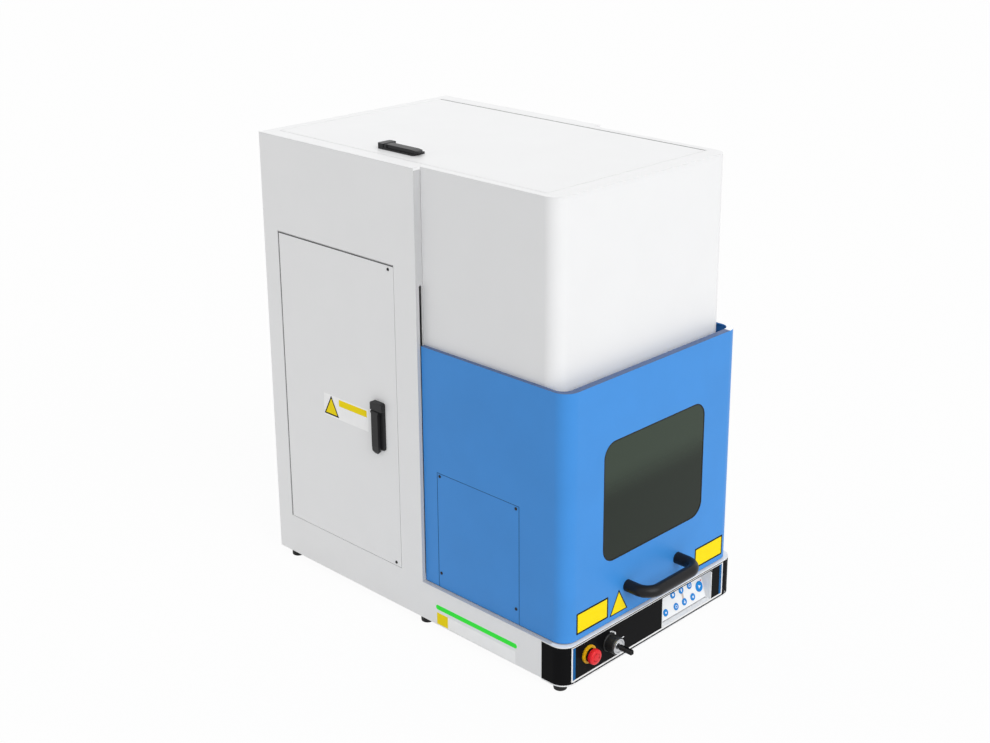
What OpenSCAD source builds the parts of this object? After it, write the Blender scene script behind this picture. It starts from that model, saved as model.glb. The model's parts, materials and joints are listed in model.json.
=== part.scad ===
// Enclosed desktop laser marking machine with a lift-up hood.
// The origin lies on the floor, at the centre of the footprint with its handle.
// X points to the machine's right, Y to its rear, and Z up.

/* [Cabinet] */
// Width across the two side panels
body_w = 436; // [420:1:460]
// Depth from the control fascia to the rear panel
body_d = 702; // [660:1:760]
// Height from the underside of the base to the top sheet
body_h = 774; // [760:1:800]
// Depth of the front bay, from the fascia to the divider wall
bay_d = 319; // [305:1:330]
// Thickness of the folded steel sheets
sheet = 2; // [1.5:0.1:2.2]
// Outside radius of the front corners
corner_r = 25; // [18:1:30]
// Gap round every door, lid and flush panel
seam = 1; // [0.8:0.1:1.5]

/* [Base] */
// Height of the base from its underside to the top of the deck
base_h = 67; // [64:1:74]
// Thickness of the deck plate over the base
deck_t = 3; // [2:0.5:4]
// Height of the deck's rim, measured from the deck's top
rim_h = 8.5; // [7:0.5:10]
// Height of the upturned lip under the fascia
lip_h = 5.5; // [4:0.5:7]
// Length of the black corner covers along each side
wrap_len = 48; // [42:1:60]
// Height of the rubber feet
foot_h = 12; // [8:1:16]
// Diameter of the rubber feet
foot_d = 28; // [20:1:34]

/* [Upper housing] */
// How far the housing stands in from each side panel
housing_in = 15; // [14:1:18]
// How far the housing stands back from the fascia
housing_back = 34; // [28:1:44]
// How far the housing's skirt reaches below the hood's top edge
housing_lap = 26; // [18:1:34]

/* [Hood] */
// Height of the sliding hood
hood_h = 415; // [400:1:425]
// Air gap between the hood's lower edge and the deck
hood_gap = 2; // [1:0.5:4]
// How far the hood stands in from each side panel
hood_in = 7; // [6:0.5:8]
// How far the hood stands back from the fascia
hood_back = 5; // [3:0.5:8]
// Width of the turned-in top edge over the front
hood_flange = 12; // [10:1:18]
// Lift of the hood from closed to fully open
hood_travel = 290; // [260:1:290]

/* [Window] */
// Width of the window pane
window_w = 246; // [220:2:260]
// Height of the window pane
window_h = 200; // [180:2:210]
// Corner radius of the window pane
window_r = 24; // [16:1:30]
// Height of the window's centre above the hood's lower edge
window_up = 209; // [200:1:220]
// Thickness of the window pane
window_t = 4; // [3:0.5:5]
// Visible width of the rubber seal round the pane
seal_w = 2; // [1.5:0.25:3]

/* [Handle] */
// Distance between the two legs of the pull handle
handle_c = 128; // [110:1:150]
// Diameter of the handle's tube
handle_d = 20; // [16:0.5:24]
// Distance from the hood's face to the middle of the bar
handle_off = 45; // [40:1:55]
// Radius of the bends, at the middle of the tube
handle_bend = 24; // [20:1:30]
// Height of the handle above the hood's lower edge
handle_up = 49; // [44:1:60]

/* [Pass-through panels] */
// Width of the removable panel in each side of the hood
pass_w = 182; // [160:1:190]
// Height of the removable panel
pass_h = 205; // [180:1:215]
// Distance from the hood's rear edge to the panel
pass_back = 32; // [30:1:40]

/* [Side door] */
// Width of the side door
door_w = 292; // [270:1:300]
// Height of the side door
door_h = 533; // [500:1:560]
// Distance from the divider wall to the door's free edge
door_front = 52; // [48:1:60]
// Height of the door's lower edge above the base's underside
door_up = 74; // [60:1:90]
// Depth of the folded edges behind the door and the lid
fold = 12; // [10:1:15]

/* [Lid] */
// Width of the top lid
lid_w = 374; // [360:1:376]
// Distance from the housing's front to the lid
lid_front = 35; // [30:1:42]
// Distance from the lid to the rear panel
lid_rear = 19; // [15:1:30]

/* [Latches] */
// Width of the latch plate
latch_w = 28; // [26:1:30]
// Length of the latch plate
latch_l = 85; // [80:1:95]
// Thickness of the latch plate
latch_t = 3; // [2.5:0.5:5]
// Width of the swing lever
lever_w = 16; // [14:0.5:17]
// Distance from the door's free edge to the middle of its latch
latch_edge = 43; // [38:1:50]
// Distance from the lid's free edge to the middle of its latch
lid_latch_edge = 37; // [34:1:50]
// Height of the latch's middle above the door's lower edge
latch_up = 248; // [200:1:300]

/* [Hinges] */
// Diameter of the hinge pins
pin_d = 4; // [3:0.5:5]
// Running clearance round each pin
pin_gap = 0.05; // [0.02:0.01:0.1]
// Length of each hinge
hinge_l = 34; // [30:1:44]

/* [Controls] */
// Distance from the middle of the fascia to the stop button
stop_x = 161; // [150:1:164]
// Distance from the middle of the fascia to the key switch
switch_x = 112; // [100:1:118]
// Diameter of the stop button's yellow collar
collar_d = 33; // [30:1:38]
// Diameter of the red stop button
mushroom_d = 28; // [26:1:29]
// Diameter of the key switch's bezel
bezel_d = 29; // [26:1:30]
// Width of the keypad recess
pad_w = 135; // [130:1:138]
// Left edge of the keypad recess
pad_x = 22; // [18:1:26]
// Tilt of the keypad from upright
pad_tilt = 19; // [16:1:22]
// Depth of the ledge in front of the keypad
ledge_d = 9; // [7:0.5:10]
// Diameter of the small keys
key_d = 12; // [10:0.5:12.5]
// Diameter of the large key
big_key_d = 18; // [16:0.5:19]
// Width of the blue strips at the fascia's ends
strip_w = 6; // [5:0.5:7]
// Distance from the middle of the fascia to each strip
strip_x = 189; // [187:0.5:189]

/* [Table and marking head] */
// Width of the work table
table_w = 300; // [280:2:320]
// Depth of the work table
table_d = 250; // [240:2:260]
// Thickness of the work table
table_t = 12; // [10:1:16]
// Distance between neighbouring table holes
hole_pitch = 50; // [40:1:50]
// Radius of the M6 table holes
hole_r = 3; // [2.5:0.1:3.3]
// Width and length of the marking head's body
head_w = 110; // [100:1:120]
// Height of the marking head's body
head_h = 110; // [100:1:120]
// Depth of the marking head's body
head_d = 130; // [120:1:140]
// Diameter of the focusing lens
lens_d = 88; // [70:1:95]
// Height of the focusing lens
lens_h = 50; // [40:1:56]
// Distance from the divider wall to the middle of the table and of the lens
table_back = 158; // [150:1:165]
// Distance from the table to the lens at rest
focus = 362; // [340:1:370]
// Diameter of the lead screw
screw_d = 12; // [10:1:14]

/* [Hidden] */
$fn = 64;

// Clearance between faces of pieces that move past each other
slip = 0.3;
half_w = body_w / 2;
handle_reach = handle_off + handle_d / 2 - hood_back;
front_y = (handle_reach - body_d) / 2;
rear_y = front_y + body_d;
bay_y = front_y + bay_d;
base_z = foot_h;
deck_z = base_z + base_h;
top_z = base_z + body_h;
wrap_y = front_y + wrap_len;
strip_end = strip_x + strip_w / 2;
post_end = strip_end + slip + 3;
rim_z = deck_z - rim_h;
lip_z = base_z + lip_h;

housing_w = half_w - housing_in;
housing_y = front_y + housing_back;
hood_w = half_w - hood_in;
hood_y = front_y + hood_back;
hood_z = deck_z + hood_gap;
hood_top = hood_z + hood_h;
hood_rear = bay_y - 2;
housing_z = hood_top - housing_lap;

window_z = hood_z + window_up;
handle_z = hood_z + handle_up;

// The slots let the hood's brackets through the front faces of the side panels
slot_x = hood_w - sheet - sheet / 2;
slot_w = sheet + 4;
slot_z0 = deck_z + 12;
bracket_z0 = slot_z0 + 19;
bracket_h = 190;
slot_z1 = bracket_z0 + bracket_h + hood_travel + 6;

door_y = bay_y + door_front;
door_z = base_z + door_up;
door_rear = door_y + door_w;
hinge_seam = seam + 1;
pin_in = 6;
pin_deep = 6;
door_pin_y = door_rear - pin_in;
door_pin_x = -half_w + pin_deep;
door_hinge_in = 60;

lid_y = housing_y + lid_front;
lid_end = rear_y - lid_rear;
lid_x = lid_w / 2;
lid_pin_x = lid_x - pin_in;
lid_pin_z = top_z - pin_deep;
// The divider wall stops short of the lid's folded edges
wall_top = top_z - fold - 3;
lid_hinge_y = [bay_y + 48, lid_end - 42];

latch_y = door_y + latch_edge;
latch_z = door_z + latch_up;
lid_latch_x = -lid_x + lid_latch_edge;
lid_latch_y = bay_y + 101;
lever_pivot = latch_l / 2 - 19;
lever_r = 3;
lever_x = -latch_w / 2 + 2;
lever_z = latch_t + lever_r + slip;
bolt_z = -7;
bolt_w = 16;
bolt_t = 5;

fascia_t = 3;
control_z = deck_z - 29;
stop_r = 11;
plunger_r = 7;
neck_r = 5;
switch_r = 12;
barrel_r = 10.5;
bezel_h = 20;
pad_r = pad_x + pad_w;
pad_y = front_y + ledge_d;
pad_z = lip_z + 1;
pad_top = rim_z - 1.5;
pad_l = 60;
pad_t = 3;
key_proud = 0.8;
// Keys in reading order: distance from the recess's left edge, height up the plate, diameter
KEYS = [[53, 33.5, key_d], [75.5, 33.5, key_d], [98, 33.5, key_d], [121.5, 23, big_key_d],
    [26.5, 12.3, key_d], [54.5, 12.3, key_d], [77, 12.3, key_d], [100, 12.3, key_d]];

table_z = deck_z + slip;
table_y = bay_y - table_back;
lens_z = table_z + table_t + focus;
head_z = lens_z + lens_h;
column_z0 = head_z - 100;
column_h = 290;
column_w = 116;
column_t = 8;
rail_x = 40;
rail_w = 16;
rail_t = 15;
block_h = 15;
screw_y = bay_y - sheet - column_t - rail_t;
carriage_y = screw_y - 24;
carriage_z = head_z + 5;
carriage_h = 100;
lens_off = 10;
head_y = table_y + lens_off - head_d / 2;
motor_w = 42;
motor_z = column_z0 + column_h + slip;
motor_h = 62;

lift_x = 150;
lift_r = 10;
rod_r = 4;
lift_y = bay_y + 14 + lift_r;
lift_z0 = base_z + sheet + slip;
lift_h = 312;
lug_z = lift_z0 + lift_h + 14;
guide_x = 182;
guide_w = 15;
guide_t = 12;
block_w = 34;
leg_y = bay_y + sheet + guide_t + 14;

fan_x = 90;
fan_z = 620;
fan_w = 120;
fan_t = 25;
inlet_x = -120;
inlet_z = 70;
inlet_w = 48;
inlet_h = 28;

// Box between two corners
module span(low, high)
    translate(low) cube(high - low);

// Footprint with two round corners at the front
module front_plan(half, y0, y1, r) {
    translate([-half, y0 + r]) square([2 * half, y1 - y0 - r]);
    translate([-half + r, y0]) square([2 * (half - r), r + 1]);
    for (s = [-1, 1]) translate([s * (half - r), y0 + r]) circle(r);
}

// Wall that follows the footprint, open at the rear
module front_wall(half, y0, y1, r, t)
    difference() {
        front_plan(half, y0, y1, r);
        front_plan(half - t, y0 + t, y1 + 1, r - t);
    }

module rounded_rect(w, h, r) {
    square([w - 2 * r, h], center = true);
    square([w, h - 2 * r], center = true);
    for (x = [-1, 1], y = [-1, 1]) translate([x * (w / 2 - r), y * (h / 2 - r)]) circle(r);
}

// Lays a drawing in Y and Z, and extrudes it along +X from x
module along_x(x, t)
    translate([x, 0, 0]) rotate([90, 0, 90]) linear_extrude(t) children();

// Lays a drawing in X and Z, and extrudes it along +Y from y
module along_y(y, t)
    translate([0, y + t, 0]) rotate([90, 0, 0]) linear_extrude(t) children();

module both_sides() {
    children();
    mirror([1, 0, 0]) children();
}

// Rim that runs round the front of the base only
module base_front(z, h, t)
    translate([0, 0, z]) linear_extrude(h) intersection() {
        front_wall(half_w, front_y, bay_y, corner_r, t);
        translate([-half_w, front_y]) square([body_w, wrap_len]);
    }

module base_tray() color("gainsboro") {
    translate([0, 0, base_z]) linear_extrude(sheet) {
        intersection() {
            front_plan(half_w, front_y, rear_y, corner_r);
            translate([-half_w, front_y]) square([body_w, wrap_len]);
        }
        translate([-half_w + sheet, wrap_y - 1]) square([body_w - 2 * sheet, rear_y - sheet - wrap_y + 1]);
    }
    base_front(base_z, lip_h, sheet);
    both_sides() span([strip_end + slip, front_y, base_z], [post_end, front_y + sheet, rim_z - slip]);
}

module feet() color("black")
    for (x = [-1, 1], y = [front_y + 33, bay_y - 8, rear_y - 48])
        translate([x * (half_w - 28), y, 0]) cylinder(d1 = foot_d - 4, d2 = foot_d, h = foot_h);

module base_deck() color("white") {
    translate([0, 0, deck_z - deck_t]) linear_extrude(deck_t)
        front_plan(half_w, front_y, bay_y, corner_r);
    base_front(rim_z, rim_h - 1, sheet);
}

// Outline of a side panel in Y and Z
module side_outline()
    polygon([[wrap_y, base_z], [rear_y, base_z], [rear_y, top_z - sheet], [bay_y, top_z - sheet],
        [bay_y, deck_z - deck_t], [wrap_y, deck_z - deck_t]]);

// Left-hand panel: a flat side, a face turned in at the front of the cabinet, and its slot
module side_panel(opening) {
    difference() {
        along_x(-half_w, sheet) side_outline();
        if (opening)
            span([-half_w - 1, door_y - seam, door_z - seam],
                [-half_w + sheet + 1, door_rear + hinge_seam, door_z + door_h + seam]);
    }
    difference() {
        span([-half_w + 1, bay_y, deck_z], [-housing_w, bay_y + sheet, top_z - sheet]);
        along_y(bay_y - 1, sheet + 2) {
            translate([-slot_x - slot_w / 2, slot_z0 + slot_w / 2])
                square([slot_w, slot_z1 - slot_z0 - slot_w]);
            for (z = [slot_z0 + slot_w / 2, slot_z1 - slot_w / 2])
                translate([-slot_x, z]) circle(d = slot_w);
        }
    }
}

module side_panel_left() color("lightgray") side_panel(true);

// The right-hand panel has rows of cooling slots in place of the door
module side_panel_right() color("lightgray") difference() {
    mirror([1, 0, 0]) side_panel(false);
    for (row = [0:5], col = [0:2])
        span([half_w - sheet - 1, bay_y + 70 + 90 * col, 560 + 14 * row],
            [half_w + 1, bay_y + 140 + 90 * col, 564 + 14 * row]);
}

module rear_panel() color("lightgray") along_y(rear_y - sheet, sheet) difference() {
    translate([-half_w + sheet, base_z]) square([body_w - 2 * sheet, body_h - sheet]);
    translate([inlet_x, inlet_z]) square([inlet_w, inlet_h], center = true);
    for (row = [0:7])
        translate([inlet_x, 320 + 14 * row]) square([110, 4], center = true);
    for (ring = [14:10:54], arm = [0:3]) translate([fan_x, fan_z]) fan_slot(ring, arm);
    for (x = [-1, 1], z = [-1, 1]) translate([fan_x + x * 52.5, fan_z + z * 52.5]) circle(2.2);
}

// One quarter of a ring-shaped air slot
module fan_slot(r, quarter)
    rotate(90 * quarter) intersection() {
        difference() {
            circle(r + 5);
            circle(r);
        }
        translate([3, 3]) square(60);
    }

module divider_wall() color("lightgray") along_y(bay_y, sheet) difference() {
    translate([-housing_w + slip, deck_z]) square([2 * (housing_w - slip), wall_top - deck_z]);
    translate([-120, 700]) circle(20);
    translate([120, 700]) circle(20);
}

module upper_housing() color("white") {
    translate([0, 0, housing_z]) linear_extrude(top_z - sheet - housing_z)
        front_wall(housing_w, housing_y, bay_y - slip, corner_r, sheet);
    translate([0, 0, housing_z]) linear_extrude(sheet)
        front_wall(housing_w, housing_y, bay_y - slip, corner_r, sheet + 10);
}

module top_frame() color("white")
    translate([0, 0, top_z - sheet]) linear_extrude(sheet) difference() {
        union() {
            front_plan(housing_w, housing_y, bay_y + 1, corner_r);
            translate([-half_w, bay_y]) square([body_w, rear_y - bay_y]);
        }
        translate([-lid_x - seam, lid_y - seam])
            square([lid_w + seam + hinge_seam, lid_end - lid_y + 2 * seam]);
    }

// Fixed half of a concealed hinge: X towards the frame, Y outwards, Z along the pin
module hinge_leaf() {
    linear_extrude(hinge_l, center = true) {
        translate([12, pin_deep - 2 * sheet]) square([16, sheet]);
        translate([10, -14]) square([2, 14 + pin_deep - sheet]);
        translate([-5, -14]) square([16, 2]);
    }
    for (s = [-1, 1]) translate([0, 0, s * (hinge_l / 2 - 2) - 2]) linear_extrude(4) {
        translate([-5, -13]) square([6, 13]);
        circle(3.6);
    }
    cylinder(d = pin_d, h = hinge_l - 2, center = true);
}

// Moving half: a knuckle on the pin and an arm to the sheet
module hinge_knuckle()
    linear_extrude(hinge_l - 9, center = true) difference() {
        union() {
            circle(3.6);
            translate([-22, -1]) square([22, 3]);
            translate([-22, -1]) square([17, pin_deep - sheet + 1]);
        }
        circle(pin_d / 2 + pin_gap);
    }

module on_door_hinges()
    for (z = [door_z + door_hinge_in, door_z + door_h - door_hinge_in])
        translate([door_pin_x, door_pin_y, z]) rotate([0, 0, 90]) children();

module on_lid_hinges()
    for (y = lid_hinge_y) translate([lid_pin_x, y, lid_pin_z]) rotate([90, 0, 0]) children();

module hinges() color("dimgray") {
    on_door_hinges() hinge_leaf();
    on_lid_hinges() hinge_leaf();
}

// Places a control on the fascia, with Z pointing out of it
module on_fascia(x)
    translate([x, front_y, control_z]) rotate([90, 0, 0]) children();

module fascia() color("black") difference() {
    span([strip_w - strip_end + slip, front_y, lip_z + slip],
        [strip_end - strip_w - slip, front_y + fascia_t, rim_z - slip]);
    span([pad_x, front_y - 1, lip_z - 1], [pad_r, front_y + fascia_t + 1, pad_top]);
    on_fascia(-stop_x) cylinder(r = stop_r, h = 20, center = true);
    on_fascia(-switch_x) cylinder(r = switch_r, h = 20, center = true);
}

module corner_wraps() color("black") both_sides()
    translate([0, 0, lip_z + slip]) linear_extrude(rim_z - lip_z - 2 * slip) intersection() {
        front_wall(half_w, front_y, bay_y, corner_r, fascia_t);
        translate([post_end + slip, front_y]) square([wrap_len, wrap_len - slip]);
    }

module light_strips() color("dodgerblue") both_sides()
    span([strip_end - strip_w, front_y, lip_z + slip],
        [strip_end, front_y + fascia_t, rim_z - slip]);

// Plane of the keypad plate: X along the recess, Y up the plate, Z outwards
module on_keypad()
    translate([pad_x, pad_y, pad_z]) rotate([90 - pad_tilt, 0, 0]) children();

// Side view of the recess between the plate and the front
module cheek_outline()
    polygon([[front_y, lip_z + slip], [pad_y + 4, lip_z + slip],
        [pad_y + 4 + pad_l * sin(pad_tilt), deck_z - deck_t - slip],
        [front_y + fascia_t + slip, deck_z - deck_t - slip],
        [front_y + fascia_t + slip, pad_top - slip], [front_y, pad_top - slip]]);

module control_recess() color("white") {
    for (x = [pad_x + slip, pad_r - 2 - slip]) along_x(x, 2) cheek_outline();
    along_x(pad_x + 1, pad_w - 2) polygon([[front_y, lip_z + slip], [pad_y, lip_z + slip],
        [pad_y, pad_z], [front_y, pad_z - 0.3]]);
}

module keypad_plate() color("whitesmoke") on_keypad() difference() {
    translate([2 + 2 * slip, slip, -pad_t])
        cube([pad_w - 4 - 4 * slip, pad_l - slip, pad_t]);
    for (k = KEYS) translate([k[0], k[1], -pad_t - 1]) cylinder(d = k[2] + 2 * slip, h = pad_t + 2);
}

// One key: a cap with a soft edge, standing a little proud of the plate
module key_cap(i) color("dodgerblue") on_keypad()
    translate([KEYS[i - 1][0], KEYS[i - 1][1], -pad_t + 1]) {
        cylinder(d = KEYS[i - 1][2], h = pad_t - 1 + key_proud - 0.3);
        translate([0, 0, pad_t - 1 + key_proud - 0.3])
            cylinder(d1 = KEYS[i - 1][2], d2 = KEYS[i - 1][2] - 0.8, h = 0.3);
    }

module estop_collar() color("gold") on_fascia(-stop_x) rotate_extrude()
    polygon([[plunger_r + slip, -28], [stop_r - slip, -28], [stop_r - slip, -fascia_t - 3],
        [14, -fascia_t - 3], [14, -fascia_t - slip / 3], [stop_r - slip, -fascia_t - slip / 3],
        [stop_r - slip, slip / 3], [collar_d / 2, slip / 3], [collar_d / 2, 2],
        [collar_d / 2 - 2, 4], [plunger_r + slip, 4]]);

module estop_plunger() color("dimgray") on_fascia(-stop_x) {
    translate([0, 0, -24]) cylinder(r = plunger_r, h = 33);
    translate([0, 0, 8]) cylinder(r = neck_r, h = 7);
}

module estop_button() color("red") on_fascia(-stop_x) rotate_extrude() difference() {
    union() {
        translate([0, 9 + slip]) square([mushroom_d / 2 - 2.5, 12]);
        translate([0, 10.5]) square([mushroom_d / 2, 6.5]);
        translate([mushroom_d / 2 - 2.5, 11.7]) circle(2.5);
        intersection() {
            translate([0, -7.5]) circle(28.6);
            translate([0, 12]) square([mushroom_d / 2, 14]);
        }
    }
    translate([-1, 0]) square([1 + neck_r + pin_gap, 15 + slip]);
    translate([-40, -40]) square([40, 80]);
}

module key_switch() color("black") on_fascia(-switch_x) rotate_extrude()
    polygon([[barrel_r + pin_gap, -24], [switch_r - slip, -24], [switch_r - slip, slip / 3],
        [bezel_d / 2 + 1, slip / 3], [bezel_d / 2 + 1, 2], [bezel_d / 2, 3],
        [bezel_d / 2, bezel_h - 1.5], [bezel_d / 2 - 1.5, bezel_h], [barrel_r + pin_gap, bezel_h]]);

module key_barrel() color("silver") on_fascia(-switch_x) difference() {
    union() {
        translate([0, 0, -22]) cylinder(r = barrel_r, h = 22 + bezel_h);
        translate([0, 0, bezel_h]) cylinder(r1 = barrel_r, r2 = barrel_r - 1.5, h = 1.2);
    }
    translate([-1.5, -5, 0]) cube([3, 10, 30]);
}

// A flat key: a blade in the barrel, a shoulder and a long grip
module key() color("dimgray") on_fascia(-switch_x) rotate([90, 0, 90]) {
    translate([0, 0, -1.2]) linear_extrude(2.4) translate([-4.2, 2]) square([8.4, bezel_h + 4]);
    translate([0, 0, -2]) linear_extrude(4) translate([0, bezel_h + 13]) rounded_rect(12, 20, 5);
}

// Swing latch: X across, Y along towards the pivot, Z out of the sheet
module latch_case() {
    head_y0 = lever_pivot + lever_r + 1.5;
    difference() {
        union() {
            linear_extrude(latch_t) rounded_rect(latch_w, latch_l, 4);
            linear_extrude(lever_z + lever_r) intersection() {
                rounded_rect(latch_w, latch_l, 4);
                translate([-latch_w / 2, head_y0]) square([latch_w, 40]);
            }
            translate([-10, -28, -14]) cube([20, 56, 14.5]);
        }
        translate([-11, -bolt_w / 2 - slip, bolt_z - bolt_t / 2 - slip])
            cube([22, bolt_w + 2 * slip, bolt_t + 2 * slip]);
    }
    for (x = [lever_x - 1.2 - slip, lever_x + lever_w + slip])
        translate([x, lever_pivot, 0]) rotate([90, 0, 90]) linear_extrude(1.2) {
            translate([-lever_r, latch_t - 1]) square([2 * lever_r, lever_z - latch_t + 1]);
            translate([0, lever_z]) circle(lever_r);
        }
    translate([lever_x - 1, lever_pivot, lever_z]) rotate([0, 90, 0])
        cylinder(r = 1.4, h = lever_w + 2);
}

module latch_lever() translate([lever_x, 0, 0]) difference() {
    union() {
        translate([0, lever_pivot, lever_z]) rotate([0, 90, 0]) cylinder(r = lever_r, h = lever_w);
        rotate([90, 0, 90]) linear_extrude(lever_w)
            polygon([[lever_pivot, lever_z - lever_r], [lever_pivot, lever_z + lever_r],
                [-latch_l / 2 + 6, lever_z + lever_r], [-latch_l / 2 - 4, lever_z + lever_r - 1],
                [-latch_l / 2 - 8, lever_z], [-latch_l / 2 - 7, lever_z - lever_r + 1],
                [-latch_l / 2 - 2, lever_z - lever_r]]);
    }
    translate([-1, lever_pivot, lever_z]) rotate([0, 90, 0])
        cylinder(r = 1.4 + pin_gap, h = lever_w + 2);
    for (x = [0, lever_w]) translate([x, -latch_l / 2 - 9, lever_z])
        rotate([0, 0, 45]) cube([8, 8, 40], center = true);
}

// Flat tongue: side tells which way it points, and reach how far past the latch's middle
module latch_bolt(side, reach)
    translate([side > 0 ? -9 : -reach, -bolt_w / 2, bolt_z - bolt_t / 2])
        cube([9 + reach, bolt_w, bolt_t]);

module on_door_latch()
    translate([-half_w, latch_y, latch_z]) rotate([90, 0, -90]) children();

module on_lid_latch()
    translate([lid_latch_x, lid_latch_y, top_z]) children();

// Cut-out in a sheet for the latch body, and the notch for its bolt
module latch_cutout(side, edge) {
    translate([-10.5, -28.5, -sheet - 1]) cube([21, 57, sheet + 2]);
    translate([side > 0 ? edge - 4 : -edge - 4, -bolt_w / 2 - 1, bolt_z - bolt_t / 2 - 1])
        cube([8, bolt_w + 2, bolt_t + 2]);
}

module side_door() color("lightgray") {
    difference() {
        union() {
            span([-half_w, door_y, door_z], [-half_w + sheet, door_rear, door_z + door_h]);
            span([-half_w + 1, door_y, door_z], [-half_w + fold, door_y + sheet, door_z + door_h]);
            for (z = [door_z, door_z + door_h - sheet])
                span([-half_w + 1, door_y, z], [-half_w + fold, door_rear - 16, z + sheet]);
        }
        on_door_latch() latch_cutout(1, latch_edge);
    }
    on_door_hinges() hinge_knuckle();
}

module door_latch_case() color("black") on_door_latch() latch_case();
module door_latch_lever() color("black") on_door_latch() latch_lever();
module door_latch_bolt() color("silver") on_door_latch() latch_bolt(1, latch_edge);

module top_lid() color("white") {
    difference() {
        union() {
            span([-lid_x, lid_y, top_z - sheet], [lid_x, lid_end, top_z]);
            span([-lid_x, lid_y, top_z - fold], [-lid_x + sheet, lid_end, top_z - 1]);
            for (y = [lid_y, lid_end - sheet])
                span([-lid_x, y, top_z - fold], [lid_x - 16, y + sheet, top_z - 1]);
        }
        on_lid_latch() latch_cutout(-1, lid_latch_edge);
    }
    on_lid_hinges() hinge_knuckle();
}

module lid_latch_case() color("black") on_lid_latch() latch_case();
module lid_latch_lever() color("black") on_lid_latch() latch_lever();
module lid_latch_bolt() color("silver") on_lid_latch() latch_bolt(-1, lid_latch_edge);

// Opening of a pass-through panel in the hood's left side, grown by an extra margin
module pass_box(extra, x0, x1)
    span([x0, hood_rear - pass_back - pass_w - extra, hood_z],
        [x1, hood_rear - pass_back + extra, hood_z + pass_h + extra]);

module hood_shell() color("dodgerblue") difference() {
    union() {
        translate([0, 0, hood_z]) linear_extrude(hood_h)
            front_wall(hood_w, hood_y, hood_rear, corner_r, sheet);
        translate([0, 0, hood_top - sheet]) linear_extrude(sheet) difference() {
            front_plan(hood_w, hood_y, hood_rear, corner_r);
            front_plan(housing_w + 1, hood_y + hood_flange, hood_rear + 1, corner_r - hood_in);
        }
    }
    along_y(hood_y - 1, sheet + 2) translate([0, window_z])
        rounded_rect(window_w + 2 * seal_w, window_h + 2 * seal_w, window_r + seal_w);
    both_sides() translate([0, 0, -1]) pass_box(seam, -hood_w - 1, -hood_w + sheet + 1);
}

module window() color([0.2, 0.22, 0.2, 0.6]) along_y(hood_y + 0.4, window_t)
    translate([0, window_z]) rounded_rect(window_w, window_h, window_r);

module window_ring(w0, w1)
    translate([0, window_z]) difference() {
        rounded_rect(window_w + 2 * w1, window_h + 2 * w1, window_r + w1);
        rounded_rect(window_w + 2 * w0, window_h + 2 * w0, window_r + w0);
    }

module window_seal() color("black") {
    along_y(hood_y, window_t + 0.8) window_ring(0, seal_w);
    along_y(hood_y + sheet, 2) window_ring(0, seal_w + 6);
    along_y(hood_y + 0.4 + window_t, 1.5) window_ring(-5, seal_w);
}

module handle() color("black") {
    leg = handle_off - handle_bend;
    for (s = [-1, 1]) {
        translate([s * handle_c / 2, hood_y, handle_z]) rotate([90, 0, 0])
            cylinder(d = handle_d, h = leg);
        translate([s * (handle_c / 2 - handle_bend), hood_y - leg, handle_z])
            rotate([0, 0, s > 0 ? -90 : 180]) rotate_extrude(angle = 90)
                translate([handle_bend, 0]) circle(d = handle_d);
    }
    translate([-handle_c / 2 + handle_bend, hood_y - handle_off, handle_z]) rotate([0, 90, 0])
        cylinder(d = handle_d, h = handle_c - 2 * handle_bend);
}

module pass_panels() color("dodgerblue") both_sides() {
    pass_box(0, -hood_w, -hood_w + sheet);
    pass_box(seam + 8, -hood_w + sheet, -hood_w + 2 * sheet);
}

// Angle that carries the hood: a leg through the slot, and a plate on the guide block
module hood_bracket() {
    span([-hood_w + sheet, hood_rear - 15, bracket_z0],
        [-hood_w + 2 * sheet, leg_y + sheet, bracket_z0 + bracket_h]);
    span([-hood_w + sheet, leg_y, bracket_z0], [-guide_x + block_w / 2, leg_y + sheet, lug_z + 6]);
    span([-guide_x, lift_y - 8, lug_z], [-lift_x + 12, leg_y + sheet, lug_z + 6]);
    for (z = [bracket_z0 + 10, bracket_z0 + bracket_h - 70]) difference() {
        span([-guide_x - block_w / 2, bay_y + sheet + 3, z], [-guide_x + block_w / 2, leg_y, z + 60]);
        span([-guide_x - guide_w / 2 - slip, bay_y, z - 1],
            [-guide_x + guide_w / 2 + slip, bay_y + sheet + guide_t + slip, z + 61]);
    }
}

module hood_brackets() color("silver") both_sides() hood_bracket();

module lift_rods() color("silver") both_sides()
    translate([-lift_x, lift_y, lift_z0 + 12]) cylinder(r = rod_r, h = lug_z - lift_z0 - 12);

module lift_cylinders() color("black") both_sides()
    translate([-lift_x, lift_y, lift_z0]) difference() {
        cylinder(r = lift_r, h = lift_h);
        translate([0, 0, 8]) cylinder(r = rod_r + pin_gap, h = lift_h);
    }

module hood_rails() color("gray") both_sides()
    span([-guide_x - guide_w / 2, bay_y + sheet, deck_z + 10],
        [-guide_x + guide_w / 2, bay_y + sheet + guide_t, slot_z1 + 10]);

module work_table() color("silver") translate([0, table_y, table_z]) difference() {
    linear_extrude(table_t) rounded_rect(table_w, table_d, 6);
    for (x = [-2.5:1:2.5], y = [-2:1:2])
        translate([x * hole_pitch, y * hole_pitch, -1]) cylinder(r = hole_r, h = table_t + 2);
}

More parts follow.
